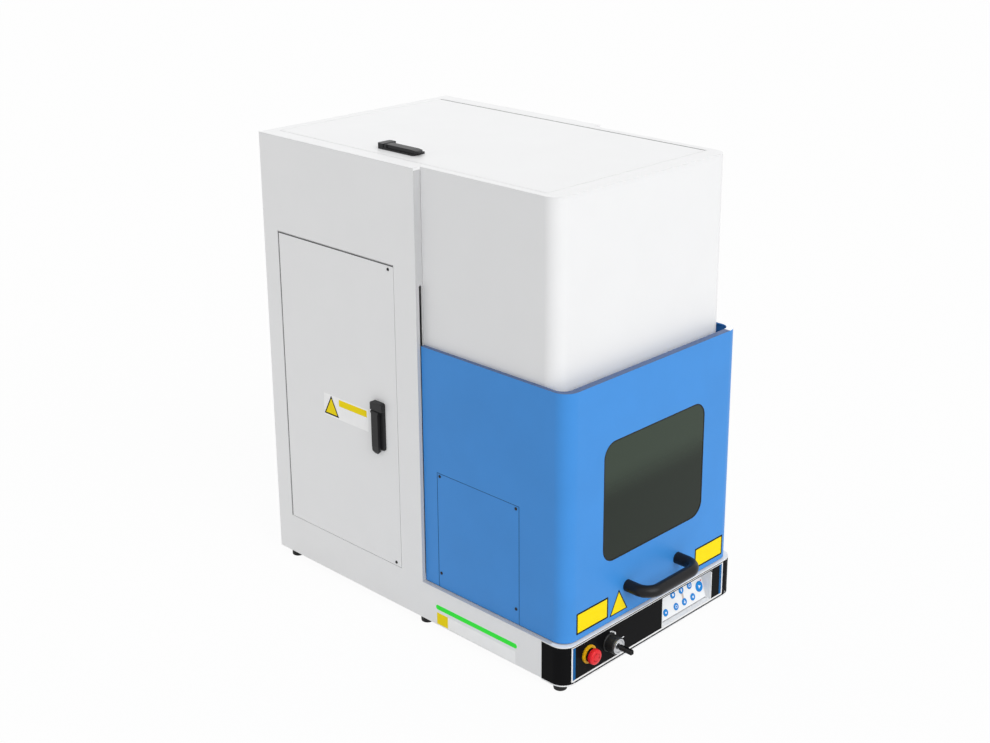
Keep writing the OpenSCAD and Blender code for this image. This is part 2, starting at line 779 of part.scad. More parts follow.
// Back plate with two rails, and an end block at each end that holds the screw
module z_column() color("silver") difference() {
    union() {
        span([-column_w / 2, bay_y - column_t, column_z0],
            [column_w / 2, bay_y, column_z0 + column_h]);
        for (s = [-1, 1])
            span([s * rail_x - rail_w / 2, bay_y - column_t - rail_t, column_z0],
                [s * rail_x + rail_w / 2, bay_y - column_t, column_z0 + column_h]);
        for (z = [column_z0, column_z0 + column_h - block_h])
            span([-22, screw_y - 14, z], [22, bay_y - column_t + 1, z + block_h]);
    }
    translate([0, screw_y, column_z0 + 5])
        cylinder(d = screw_d + 2 * pin_gap, h = column_h);
}

module z_motor() color("dimgray") translate([0, screw_y, motor_z]) difference() {
    union() {
        linear_extrude(motor_h) rounded_rect(motor_w - 2, motor_w - 2, 4);
        translate([-motor_w / 2, -motor_w / 2, 0]) cube([motor_w, motor_w, 6]);
        translate([-motor_w / 2, -motor_w / 2, motor_h - 8]) cube([motor_w, motor_w, 8]);
    }
    translate([0, 0, -1]) cylinder(d = screw_d + 1, h = 14);
}

module lead_screw() color("silver")
    translate([0, screw_y, column_z0 + 6]) cylinder(d = screw_d, h = column_h + 4);

// Plate on four guide blocks, with the nut in the middle and an arm to the marking head
module z_carriage() color("silver") {
    span([-32, head_y + head_d, head_z + 15], [32, carriage_y + 1, head_z + 95]);
    span([-column_w / 2, carriage_y, carriage_z], [column_w / 2, carriage_y + 8, carriage_z + carriage_h]);
    for (s = [-1, 1], z = [carriage_z, carriage_z + carriage_h - 32]) difference() {
        span([s * rail_x - 14, carriage_y + 7, z], [s * rail_x + 14, bay_y - column_t - 4, z + 32]);
        span([s * rail_x - rail_w / 2 - slip, bay_y - column_t - rail_t - slip, z - 1],
            [s * rail_x + rail_w / 2 + slip, bay_y, z + 33]);
    }
    difference() {
        span([-16, carriage_y + 7, carriage_z + 36], [16, bay_y - column_t - 4, carriage_z + 64]);
        translate([0, screw_y, carriage_z]) cylinder(d = screw_d + 2 * pin_gap, h = 100);
    }
}

// Galvo block with its two mirror motors
module scan_head() color("dimgray") {
    translate([0, head_y + head_d / 2, head_z]) linear_extrude(head_h)
        rounded_rect(head_w, head_d, 6);
    translate([20, head_y + 45, head_z + head_h - 1]) cylinder(r = 19, h = 27);
    translate([20, head_y + 1, head_z + 62]) rotate([90, 0, 0]) cylinder(r = 19, h = 27);
    translate([0, table_y, head_z - 4]) cylinder(r = lens_d / 2 - 4, h = 5);
}

module scan_lens() color("darkslategray")
    translate([0, table_y, lens_z]) rotate_extrude() {
        square([lens_d / 2 - 6, lens_h - 4]);
        translate([0, 6]) square([lens_d / 2 - 3, lens_h - 16]);
        for (z = [10:5:30]) translate([0, z]) square([lens_d / 2, 3]);
    }

module collimator() color("gold")
    translate([-head_w / 2, head_y + head_d / 2 + 10, head_z + 62]) rotate([0, -90, 0]) {
        cylinder(r = 20, h = 82);
        translate([0, 0, 82]) cylinder(r = 14, h = 18);
        translate([0, 0, 100]) cylinder(r1 = 9, r2 = 5, h = 22);
    }

module laser_source() color("dimgray") {
    difference() {
        span([-60, bay_y + 92, base_z + sheet], [155, rear_y - sheet - 5, base_z + sheet + 96]);
        for (x = [-50:12:142]) span([x, bay_y + 110, base_z + sheet + 88],
            [x + 7, rear_y - sheet - 23, base_z + sheet + 97]);
    }
    for (x = [10, 80]) span([x, bay_y + 84, base_z + 44], [x + 12, bay_y + 93, base_z + 74]);
}

module power_supplies() color("silver") for (y = [bay_y + 90, bay_y + 218]) difference() {
    span([half_w - sheet - 50, y, 250], [half_w - sheet, y + 115, 465]);
    for (z = [270:9:440]) span([half_w - sheet - 51, y + 15, z], [half_w - sheet - 48, y + 100, z + 5]);
}

module control_board() {
    color("green") span([half_w - sheet - 12, bay_y + 110, 490], [half_w - sheet - 10, bay_y + 270, 545]);
    color("silver") for (y = [bay_y + 116, bay_y + 264], z = [496, 539])
        translate([half_w - sheet - 10, y, z]) rotate([0, 90, 0]) cylinder(r = 3, h = 10);
    color("black") for (y = [bay_y + 125, bay_y + 180])
        span([half_w - sheet - 24, y, 500], [half_w - sheet - 11.5, y + 42, 535]);
}

// Panel inlet: a flanged housing round a hollow with three contact pins
module power_inlet() color("black") {
    difference() {
        union() {
            span([inlet_x - 29, rear_y, inlet_z - 16], [inlet_x + 29, rear_y + 2, inlet_z + 16]);
            span([inlet_x - inlet_w / 2 + slip, rear_y - 28, inlet_z - inlet_h / 2 + slip],
                [inlet_x + inlet_w / 2 - slip, rear_y + 1, inlet_z + inlet_h / 2 - slip]);
        }
        span([inlet_x - 12, rear_y - 18, inlet_z - 8], [inlet_x + 12, rear_y + 3, inlet_z + 8]);
    }
    for (p = [[-7, -1], [7, -1], [0, 3]])
        span([inlet_x + p[0] - 1, rear_y - 19, inlet_z + p[1] - 2],
            [inlet_x + p[0] + 1, rear_y - 8, inlet_z + p[1] + 2]);
}

// Frame of the axial fan: a ring, four corners and the struts that hold the hub
module fan_housing() color("black") along_y(rear_y - sheet - fan_t, fan_t)
    translate([fan_x, fan_z]) difference() {
        rounded_rect(fan_w, fan_w, 6);
        circle(57);
        for (x = [-1, 1], z = [-1, 1]) translate([x * 52.5, z * 52.5]) circle(2.2);
    }

// Struts and shaft are part of the housing's rear face, so the rotor has a seat
module fan_spider() color("black") translate([fan_x, rear_y - sheet - fan_t, fan_z]) rotate([-90, 0, 0]) {
    for (a = [45:90:315]) rotate(a) translate([0, -3, 0]) cube([58, 6, 3]);
    cylinder(r = 20, h = 3);
    cylinder(r = 2.5, h = 18);
}

module fan_rotor() color("dimgray") translate([fan_x, rear_y - sheet - fan_t, fan_z]) rotate([-90, 0, 0])
    difference() {
        union() {
            translate([0, 0, 4]) cylinder(r = 20, h = 18);
            for (a = [0:360 / 7:359]) rotate(a) translate([36, 0, 13]) rotate([38, 0, 0])
                cube([36, 22, 1.6], center = true);
        }
        translate([0, 0, -1]) cylinder(r = 2.5 + pin_gap, h = 20);
    }

base_tray();
feet();
base_deck();
side_panel_left();
side_panel_right();
rear_panel();
divider_wall();
upper_housing();
top_frame();
hinges();
fascia();
corner_wraps();
light_strips();
control_recess();
keypad_plate();
estop_collar();
estop_plunger();
estop_button();
key_switch();
key_barrel();
key();
key_cap(1);  // key_1
key_cap(2);  // key_2
key_cap(3);  // key_3
key_cap(4);  // key_4
key_cap(5);  // key_5
key_cap(6);  // key_6
key_cap(7);  // key_7
key_cap(8);  // key_8
side_door();
door_latch_case();
door_latch_lever();
door_latch_bolt();
top_lid();
lid_latch_case();
lid_latch_lever();
lid_latch_bolt();
hood_shell();
window();
window_seal();
handle();
pass_panels();
hood_brackets();
lift_rods();
lift_cylinders();
hood_rails();
work_table();
z_column();
z_motor();
lead_screw();
z_carriage();
scan_head();
scan_lens();
collimator();
laser_source();
power_supplies();
control_board();
power_inlet();
union() {
    fan_housing();
    fan_spider();
}
fan_rotor();
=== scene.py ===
"""Studio scene of an enclosed laser marking machine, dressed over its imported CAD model."""

import json
import math

import bmesh
import bpy
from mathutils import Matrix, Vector


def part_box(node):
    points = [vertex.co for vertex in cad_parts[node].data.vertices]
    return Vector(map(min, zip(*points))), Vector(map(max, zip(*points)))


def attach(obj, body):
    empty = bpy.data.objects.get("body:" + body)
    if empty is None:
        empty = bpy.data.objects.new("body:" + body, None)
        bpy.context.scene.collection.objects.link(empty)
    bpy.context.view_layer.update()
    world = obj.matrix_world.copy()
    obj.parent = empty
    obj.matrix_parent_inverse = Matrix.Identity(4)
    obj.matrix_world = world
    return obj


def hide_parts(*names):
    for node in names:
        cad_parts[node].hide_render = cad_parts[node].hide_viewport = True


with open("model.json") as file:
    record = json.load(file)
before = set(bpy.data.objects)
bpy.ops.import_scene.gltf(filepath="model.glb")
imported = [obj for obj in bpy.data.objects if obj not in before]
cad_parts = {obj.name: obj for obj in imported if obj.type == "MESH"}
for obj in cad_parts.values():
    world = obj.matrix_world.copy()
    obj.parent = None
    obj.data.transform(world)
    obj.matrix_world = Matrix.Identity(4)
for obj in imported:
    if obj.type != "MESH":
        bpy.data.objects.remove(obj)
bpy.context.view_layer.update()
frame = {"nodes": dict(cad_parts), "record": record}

MM = 0.001
X, Y, Z = Vector((1, 0, 0)), Vector((0, 1, 0)), Vector((0, 0, 1))

# Flat faces of the machine: right-hand and upward directions in the face
FRONT = (X, Z)
LEFT = (-Y, Z)
RIGHT = (Y, Z)
REAR = (-X, Z)
TOP = (X, Y)


def low(node):
    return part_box(node)[0] / MM


def high(node):
    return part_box(node)[1] / MM


# ---------------------------------------------------------------- materials


def new_node(tree, kind, **inputs):
    node = tree.nodes.new(kind)
    for name, value in inputs.items():
        node.inputs[name.replace("_", " ")].default_value = value
    return node


def blend_colors(tree, factor, a, b):
    """Mixes two plain colours by the value of a texture."""
    mix = tree.nodes.new("ShaderNodeMix")
    mix.data_type = "RGBA"
    mix.inputs["A"].default_value = (*a, 1)
    mix.inputs["B"].default_value = (*b, 1)
    tree.links.new(factor, mix.inputs["Factor"])
    return mix.outputs["Result"]


def noise(tree, coords, size):
    node = new_node(tree, "ShaderNodeTexNoise", Scale=1 / (size * MM), Detail=3)
    tree.links.new(coords, node.inputs["Vector"])
    return node.outputs["Fac"]


def spread(tree, value, start, end):
    """Maps the middle of a noise, from 0.3 to 0.7, to a range."""
    node = tree.nodes.new("ShaderNodeMapRange")
    node.inputs["From Min"].default_value = 0.3
    node.inputs["From Max"].default_value = 0.7
    node.inputs["To Min"].default_value = start
    node.inputs["To Max"].default_value = end
    tree.links.new(value, node.inputs["Value"])
    return node.outputs["Result"]


# Share by which a roughness varies, and height of the grain in mm
ROUGH_DRIFT = 0.12
RELIEF = 0.1


def finish(name, color, rough, metal=0.0, specular=0.5, tone=0.03, patch=90, grain=0.5,
           bump=0.06, edge=0.5, stretch=(1, 1, 1), transmission=0.0):
    """A surface with slow colour drift, fine grain and softened edges.

    tone is the share by which the colour drifts, patch and grain are sizes in mm,
    bump is the strength of the grain, and edge is the radius of the softened edges in mm.
    """
    material = bpy.data.materials.new(name)
    material.use_nodes = True
    tree = material.node_tree
    shader = tree.nodes["Principled BSDF"]
    coords = tree.nodes.new("ShaderNodeTexCoord").outputs["Object"]
    if stretch != (1, 1, 1):
        mapping = new_node(tree, "ShaderNodeMapping", Scale=stretch)
        tree.links.new(coords, mapping.inputs["Vector"])
        coords = mapping.outputs["Vector"]
    drift = spread(tree, noise(tree, coords, patch), 0, 1)
    dark = [c * (1 - tone) for c in color]
    light = [min(1, c * (1 + tone)) for c in color]
    tree.links.new(blend_colors(tree, drift, dark, light), shader.inputs["Base Color"])
    fine = noise(tree, coords, grain)
    tree.links.new(spread(tree, fine, rough * (1 - ROUGH_DRIFT), min(1, rough * (1 + ROUGH_DRIFT))),
                   shader.inputs["Roughness"])
    relief = new_node(tree, "ShaderNodeBump", Strength=bump, Distance=RELIEF * MM)
    tree.links.new(fine, relief.inputs["Height"])
    if edge:
        bevel = new_node(tree, "ShaderNodeBevel", Radius=edge * MM)
        bevel.samples = 4
        tree.links.new(bevel.outputs["Normal"], relief.inputs["Normal"])
    tree.links.new(relief.outputs["Normal"], shader.inputs["Normal"])
    shader.inputs["Metallic"].default_value = metal
    shader.inputs["Specular IOR Level"].default_value = specular
    shader.inputs["Transmission Weight"].default_value = transmission
    return material


# Radii of a dot, as shares of the pitch: where it ends, and where it is at its darkest
DOT_EDGE, DOT_CORE = 0.42, 0.30


def dotted(name, ground, dot, pitch, specular=0.08):
    """A surface with rows of small dots."""
    material = finish(name, ground, 0.35, specular=specular, edge=0.2)
    tree = material.node_tree
    shader = tree.nodes["Principled BSDF"]
    coords = tree.nodes["Texture Coordinate"].outputs["Object"]
    cells = new_node(tree, "ShaderNodeTexVoronoi", Scale=1 / (pitch * MM), Randomness=0)
    tree.links.new(coords, cells.inputs["Vector"])
    mask = tree.nodes.new("ShaderNodeMapRange")
    mask.inputs["From Min"].default_value = DOT_EDGE
    mask.inputs["From Max"].default_value = DOT_CORE
    tree.links.new(cells.outputs["Distance"], mask.inputs["Value"])
    tree.links.new(blend_colors(tree, mask.outputs["Result"], ground, dot),
                   shader.inputs["Base Color"])
    return material


# Shares of the window's height between which painted light makes its tint lighter
FADE_START, FADE_END = 0.48, 0.78


def pane(name, low_tint, top_painted_light):
    """Smoked acrylic, with painted light that makes it lighter towards its top edge."""
    bottom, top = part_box("window")
    material = finish(name, low_tint, 0.07, specular=0.13, bump=0.0, edge=0.3, grain=60,
                      transmission=0.2)
    tree = material.node_tree
    height = tree.nodes.new("ShaderNodeSeparateXYZ")
    tree.links.new(tree.nodes["Texture Coordinate"].outputs["Object"], height.inputs["Vector"])
    fade = tree.nodes.new("ShaderNodeMapRange")
    fade.interpolation_type = "SMOOTHSTEP"
    fade.inputs["From Min"].default_value = bottom.z + FADE_START * (top.z - bottom.z)
    fade.inputs["From Max"].default_value = bottom.z + FADE_END * (top.z - bottom.z)
    tree.links.new(height.outputs["Z"], fade.inputs["Value"])
    tree.links.new(blend_colors(tree, fade.outputs["Result"], low_tint, top_painted_light),
                   tree.nodes["Principled BSDF"].inputs["Base Color"])
    return material


WHITE_PAINT = (0.86, 0.862, 0.866)

FINISHES = {
    "grey_sheet": finish("paint_cabinet", WHITE_PAINT, 0.46, tone=0.008, grain=0.45),
    "white_sheet": finish("paint_housing", (0.835, 0.838, 0.843), 0.44, tone=0.008, grain=0.45),
    "blue_sheet": finish("paint_blue", (0.048, 0.268, 0.70), 0.42, specular=0.3, tone=0.03,
                         grain=0.45),
    "black_panel": finish("panel_black", (0.006, 0.006, 0.0065), 0.38, specular=0.03, bump=0.03),
    "blue_strip": dotted("strip_dots", (0.002, 0.135, 0.40), (0.004, 0.035, 0.10), 2.0),
    "white_plastic": finish("plastic_white", (0.82, 0.83, 0.84), 0.42, tone=0.01, bump=0.03),
    "blue_plastic": finish("plastic_blue", (0.003, 0.225, 0.64), 0.32, specular=0.25, bump=0.02,
                           edge=0.3),
    "yellow_plastic": finish("plastic_yellow", (0.86, 0.54, 0.006), 0.34, specular=0.3, bump=0.02),
    "red_plastic": finish("plastic_red", (0.74, 0.010, 0.018), 0.30, specular=0.3, bump=0.02,
                          edge=0.6),
    "dark_plastic": finish("plastic_black", (0.012, 0.012, 0.013), 0.45, specular=0.3, bump=0.1),
    "rubber": finish("rubber_black", (0.012, 0.012, 0.012), 0.72, specular=0.3, bump=0.15),
    "steel": finish("steel_zinc", (0.56, 0.57, 0.59), 0.30, metal=1, tone=0.06, patch=8),
    "alloy": finish("alloy_clear", (0.68, 0.69, 0.71), 0.36, metal=1, tone=0.03, patch=30,
                    stretch=(1, 1, 0.1)),
    "black_alloy": finish("alloy_black", (0.011, 0.011, 0.012), 0.36, specular=0.2, bump=0.05),
    "brass_tube": finish("brass_satin", (0.60, 0.42, 0.16), 0.28, metal=1, tone=0.05, patch=10),
    "circuit_board": finish("board_green", (0.02, 0.16, 0.06), 0.4, tone=0.15, patch=6),
    # Smoked pane, lighter towards its top with painted light
    "tinted_pane": pane("pane_smoked_painted_light", (0.009, 0.017, 0.009), (0.036, 0.056, 0.036)),
}

SLOTS = {row["node"]: row["material_slot"] for row in frame["record"]["subparts"]}
for node_name, node_object in frame["nodes"].items():
    node_object.data.materials.clear()
    node_object.data.materials.append(FINISHES[SLOTS[node_name]])

LABEL_WHITE = finish("label_white", (0.97, 0.97, 0.97), 0.5, tone=0.02, patch=20, edge=0)
LABEL_YELLOW = finish("label_yellow", (0.95, 0.74, 0.004), 0.5, specular=0.1, tone=0.02,
                      patch=20, edge=0)
LABEL_GREEN = finish("label_green", (0.045, 0.92, 0.06), 0.5, specular=0.1, tone=0.02,
                     patch=20, edge=0)
LABEL_DARK = finish("label_edge", (0.006, 0.006, 0.006), 0.5, specular=0.1, tone=0.05,
                    patch=20, edge=0)
COLLAR_YELLOW = dotted("collar_dots", (0.84, 0.50, 0.006), (0.42, 0.17, 0.004), 1.5, 0.3)
ARROW_RED = finish("arrow_red", (0.45, 0.008, 0.012), 0.4, specular=0.2, tone=0.05, patch=4,
                   edge=0)
# Painted shade and painted highlight for the hood's turned-in top edge
HOOD_EDGE_PAINTED_SHADE = finish("hood_edge_painted_shade", (0.085, 0.135, 0.27), 0.5, specular=0.2, tone=0.04,
                    patch=60, edge=0)
HOOD_EDGE_PAINTED_HIGHLIGHT = finish("hood_edge_painted_highlight", (0.90, 0.91, 0.92), 0.4, tone=0.01, patch=60, edge=0)
# Painted shade for the turned-in fronts of the side panels and for the deck's ledges; their real
# paint is the cabinet's
RETURN_PAINTED_SHADE = finish("painted_shade_return", (0.53, 0.533, 0.54), 0.5, tone=0.01, edge=0)
# Painted shade for the seams of the door and the lid
SEAM_PAINTED_SHADE = finish("seam_painted_shade", (0.06, 0.06, 0.063), 0.6, tone=0.05, patch=60, edge=0)
# Painted shade for the gaps round the pass-through panels
GAP_PAINTED_SHADE = finish("gap_shade_navy", (0.012, 0.06, 0.16), 0.6, specular=0.1, tone=0.05, patch=20,
                edge=0)
PRINT_SAND = finish("print_sand", (0.55, 0.46, 0.42), 0.5, tone=0.03, patch=5, edge=0)
PRINT_GREY = finish("print_grey", (0.30, 0.30, 0.31), 0.5, tone=0.03, patch=20, edge=0)
PRINT_WHITE = finish("print_white", (0.84, 0.85, 0.87), 0.5, tone=0.02, patch=5, edge=0)
LED_RED = finish("led_red", (0.65, 0.02, 0.03), 0.2, tone=0.05, patch=2, edge=0)

# ------------------------------------------------------------------- shapes

# Steps in the large corners, in the small ones, and round the turned parts that show most
CORNER_STEPS, ROUND_STEPS = 8, 6
FINE_SIDES = 48


def arc(radius, start, end, count, cx=0.0, cy=0.0):
    """Points along an arc, angles in degrees."""
    steps = [start + (end - start) * i / count for i in range(count + 1)]
    return [(cx + radius * math.cos(math.radians(a)), cy + radius * math.sin(math.radians(a)))
            for a in steps]


def front_corner(half, front, radius, side):
    """One front corner of a plan, the left one for side -1 and the right one for side 1."""
    start = 180 if side < 0 else 270
    return arc(radius, start, start + 90, CORNER_STEPS, side * (half - radius), front + radius)


def box_outline(u0, u1, v0, v1):
    """A rectangle between two sides, a foot and a top."""
    return [(u0, v0), (u1, v0), (u1, v1), (u0, v1)]


def circle(radius, cx=0.0, cy=0.0, count=32):
    return arc(radius, 0, 360, count, cx, cy)[:-1]


def rounded(width, height, radius, cx=0.0, cy=0.0):
    points = []
    corners = ((1, 1, 0), (-1, 1, 90), (-1, -1, 180), (1, -1, 270))
    for sx, sy, start in corners:
        points += arc(radius, start, start + 90, ROUND_STEPS,
                      cx + sx * (width / 2 - radius), cy + sy * (height / 2 - radius))
    return points


def band(radius, width, start, end, count=16):
    """A curved stroke of constant width."""
    outer = arc(radius + width / 2, start, end, count)
    inner = arc(radius - width / 2, start, end, count)
    return outer + inner[::-1]


def arrow_head(cx, cy, angle, size):
    """A triangle that points along the angle, in degrees."""
    return [(cx + size * math.cos(math.radians(angle + turn)),
             cy + size * math.sin(math.radians(angle + turn))) for turn in (0, 130, 230)]


def star(points, outer, inner):
    shape = []
    for i in range(2 * points):
        radius = inner if i % 2 else outer
        angle = math.radians(90 + 180 * i / points)
        shape.append((radius * math.cos(angle), radius * math.sin(angle)))
    return shape


def extrude(mesh, place, outline, hole, bottom, top):
    """Adds a plate between two heights, with an optional hole of as many points."""
    def ring(points, height):
        return [mesh.verts.new(place(u, v, height)) for u, v in points]

    upper, lower = ring(outline, top), ring(outline, bottom)
    count = len(outline)
    for i in range(count):
        j = (i + 1) % count
        mesh.faces.new((lower[i], lower[j], upper[j], upper[i]))
    if hole is None:
        mesh.faces.new(upper)
        mesh.faces.new(lower[::-1])
        return
    inner_up, inner_low = ring(hole, top), ring(hole, bottom)
    for i in range(count):
        j = (i + 1) % count
        mesh.faces.new((upper[i], upper[j], inner_up[j], inner_up[i]))
        mesh.faces.new((lower[j], lower[i], inner_low[i], inner_low[j]))
        mesh.faces.new((inner_up[i], inner_up[j], inner_low[j], inner_low[i]))


def add_object(name, mesh, material, body):
    bmesh.ops.recalc_face_normals(mesh, faces=mesh.faces[:])
    data = bpy.data.meshes.new(name)
    mesh.to_mesh(data)
    mesh.free()
    data.materials.append(material)
    piece = bpy.data.objects.new(name, data)
    bpy.context.scene.collection.objects.link(piece)
    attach(piece, body)
    return piece


def placer(face, origin):
    """Turns face coordinates in mm, and a height above the face, into a point in metres."""
    u_axis, v_axis = face
    normal = u_axis.cross(v_axis)
    base = Vector(origin)

    def place(u, v, height):
        return (base + u_axis * u + v_axis * v + normal * height) * MM

    return place


def plates(name, face, origin, shapes, material, body, top=0.15, bottom=-0.05):
    """Thin plates on a face. A shape is an outline, or a pair of outline and hole."""
    mesh = bmesh.new()
    place = placer(face, origin)
    for shape in shapes:
        outline, hole = shape if isinstance(shape, tuple) else (shape, None)
        extrude(mesh, place, outline, hole, bottom, top)
    return add_object(name, mesh, material, body)


SHARP_ANGLE = 35


def turned(name, face, origins, profile, material, body, socket=None, sides=24):
    """Turned pieces with the same profile, as (radius, height) pairs from foot to top.

    socket is the size across the flats and the depth of a hexagonal hole in the top.
    """
    mesh = bmesh.new()
    for origin in origins:
        place = placer(face, origin)
        rings = []
        for radius, height in profile:
            rings.append([(radius * math.cos(2 * math.pi * i / sides),
                           radius * math.sin(2 * math.pi * i / sides), height)
                          for i in range(sides)])
        if socket:
            flats, depth = socket
            top = profile[-1][1]
            hexagon = []
            for i in range(sides):
                angle = 2 * math.pi * i / sides
                turn = (angle + math.pi / 6) % (math.pi / 3) - math.pi / 6
                reach = flats / 2 / math.cos(turn)
                hexagon.append((reach * math.cos(angle), reach * math.sin(angle)))
            rings.append([(u, v, top) for u, v in hexagon])
            rings.append([(u, v, top - depth) for u, v in hexagon])
        loops = [[mesh.verts.new(place(*point)) for point in ring] for ring in rings]
        for first, second in zip(loops, loops[1:]):
            for i in range(sides):
                j = (i + 1) % sides
                mesh.faces.new((first[i], first[j], second[j], second[i]))
        mesh.faces.new(loops[0][::-1])
        mesh.faces.new(loops[-1])
    piece = add_object(name, mesh, material, body)
    for polygon in piece.data.polygons:
        polygon.use_smooth = len(polygon.vertices) == 4
    piece.data.set_sharp_from_angle(angle=math.radians(SHARP_ANGLE))
    return piece


# Screw heads, each with the size and depth of its socket
BUTTON_HEAD = [(3.8, -0.1), (3.8, 0.5), (3.5, 1.2), (2.9, 1.75), (2.2, 1.95)]
SMALL_HEAD = [(2.7, -0.1), (2.7, 0.35), (2.4, 0.9), (1.9, 1.2), (1.5, 1.3)]
BUTTON_SOCKET = (2.5, 1.2)
SMALL_SOCKET = (1.8, 0.9)

# --------------------------------------------------------------- hood marks

hood_y = low("hood_shell").y
hood_half = -low("hood_shell").x
hood_top = high("hood_shell").z

# Labels have no words. Their backs, fields and edges lie in layers.
LABEL_BORDER = 2.9
LABEL_CORNER, FIELD_CORNER = 1.5, 1
BACK_TOP, FIELD_TOP, EDGE_TOP = 0.12, 0.2, 0.25


def bordered(name, x, z, outer, inner):
    """A field of colour with a dark border."""
    plates(name + "_border", FRONT, (x, hood_y, z), [outer], LABEL_DARK, "hood",
           top=BACK_TOP)
    plates(name, FRONT, (x, hood_y, z), [inner], LABEL_YELLOW, "hood",
           top=FIELD_TOP)


for name, x, z, width, height in (("hood_label_left", -147.5, 109, 75, 37),
                                  ("hood_label_right", 150.5, 108, 76, 37)):
    bordered(name, x, z, rounded(width, height, LABEL_CORNER),
             rounded(width - 2 * LABEL_BORDER, height - 2 * LABEL_BORDER, FIELD_CORNER))
bordered("hood_label_middle", -84, 90, [(-22, -1), (22, -1), (0, 40)],
         [(-18.5, 1), (18.5, 1), (0, 35.5)])

# Painted shade and painted highlight on the turned-in top edge: a dark slate strip along the left
# and the front, where the flange lies in the housing's shade, and a white strip at the right end
# for its highlight, with the shell's own corners
HOOD_CORNER = 25
FLANGE = 12
HOUSING_GAP = 1
housing_edge = HOUSING_GAP - low("upper_housing").x
inner_corner = HOOD_CORNER - (hood_half - housing_edge)
hood_back = high("hood_shell").y
outer_left, outer_right = [front_corner(hood_half, hood_y, HOOD_CORNER, side)
                           for side in (-1, 1)]
inner_left, inner_right = [front_corner(housing_edge, hood_y + FLANGE, inner_corner, side)
                           for side in (-1, 1)]
split = housing_edge - inner_corner
plates("hood_edge_front", TOP, (0, 0, hood_top),
       [[(-hood_half, hood_back)] + outer_left + [(split, hood_y), (split, hood_y + FLANGE)]
        + inner_left[::-1] + [(-housing_edge, hood_back)]],
       HOOD_EDGE_PAINTED_SHADE, "hood")
plates("hood_edge_right", TOP, (0, 0, hood_top),
       [[(split, hood_y)] + outer_right + [(hood_half, hood_back), (housing_edge, hood_back)]
        + inner_right[::-1] + [(split, hood_y + FLANGE)]],
       HOOD_EDGE_PAINTED_HIGHLIGHT, "hood")

# Dark navy strips of painted shade in the gaps of the pass-through panels, and their corner screws
PASS_LAP = 9
GAP = 1
SCREW_FRONT, SCREW_BACK = 6, 5.5
SCREW_FOOT, SCREW_TOP = 26, 4.5
pass_front = low("pass_panels").y + PASS_LAP
pass_back = high("pass_panels").y - PASS_LAP
pass_foot = low("hood_shell").z
pass_top = high("pass_panels").z - PASS_LAP
gap_shade_outline = [(pass_front - GAP, pass_foot), (pass_front - GAP, pass_top + GAP),
          (pass_back + GAP, pass_top + GAP), (pass_back + GAP, pass_foot),
          (pass_back, pass_foot), (pass_back, pass_top), (pass_front, pass_top),
          (pass_front, pass_foot)]
for side, face, name in ((-1, LEFT, "left"), (1, RIGHT, "right")):
    wall = side * hood_half
    plates("pass_gap_shade_" + name, face, (wall, 0, 0), [[(y * side, z) for y, z in gap_shade_outline]],
           GAP_PAINTED_SHADE, "hood", top=0.05, bottom=-1.5)
    spots = [(wall, y, z) for y in (pass_front + SCREW_FRONT, pass_back - SCREW_BACK)
             for z in (pass_foot + SCREW_FOOT, pass_top - SCREW_TOP)]
    turned("pass_screws_" + name, face, spots, SMALL_HEAD, FINISHES["dark_plastic"], "hood",
           socket=SMALL_SOCKET)

# --------------------------------------------------------------- door marks

door_x = low("side_door").x
door_label = (door_x, 175.2, 333)
plates("door_label", LEFT, door_label, [rounded(115, 40, LABEL_CORNER)],
       LABEL_WHITE, "door", top=BACK_TOP)
plates("door_label_field", LEFT, door_label,
       [[(-54, -15), (-22, -15), (-38, 15)], rounded(72, 12, FIELD_CORNER, 18, 11)],
       LABEL_YELLOW, "door", top=FIELD_TOP)
plates("door_label_edge", LEFT, door_label,
       [([(-57, -17), (-19, -17), (-38, 19)], [(-53, -14.5), (-23, -14.5), (-38, 14)])],
       LABEL_DARK, "door", top=EDGE_TOP)
DOOR_SCREW_Y = 57
DOOR_SCREW_LEVELS = (611, 92)
door_spots = [(door_x, DOOR_SCREW_Y, z) for z in DOOR_SCREW_LEVELS]
turned("door_screws", LEFT, door_spots, SMALL_HEAD, FINISHES["dark_plastic"], "door",
       socket=SMALL_SOCKET)

# The door's seam is shaded at its top and its hinges, so the door carries dark strips of painted
# shade there
EDGE_INSET = 0.1
SEAM_WIDTH = 1.3
SEAM_HEIGHT = 2
door_low, door_high = low("side_door"), high("side_door")
seam_start, seam_top = -door_high.y + EDGE_INSET, door_high.z - EDGE_INSET
seam_corner = door_high.z - SEAM_HEIGHT
seam_bars = [(seam_start, -door_low.y, seam_corner, seam_top),
             (seam_start, seam_start + SEAM_WIDTH, door_low.z, seam_corner)]
plates("door_seam", LEFT, (door_x, 0, 0), [box_outline(*bar) for bar in seam_bars],
       SEAM_PAINTED_SHADE, "door", top=0.08)

# ------------------------------------------------------------ cabinet marks

side_x = low("side_panel_left").x
for name, y, z, width, height, corner, material, slot in (
        ("base_label_green", -132, 45.2, 186, 8.5, 4, LABEL_GREEN, None),
        ("base_label_white", -144, 24.5, 154, 21, 1, LABEL_WHITE, "white_plastic"),
        ("base_label_yellow", -54, 24.5, 26, 21, 1, LABEL_YELLOW, "yellow_plastic")):
    plates(name, LEFT, (side_x, y, z), [rounded(width, height, corner)], material, "cabinet")

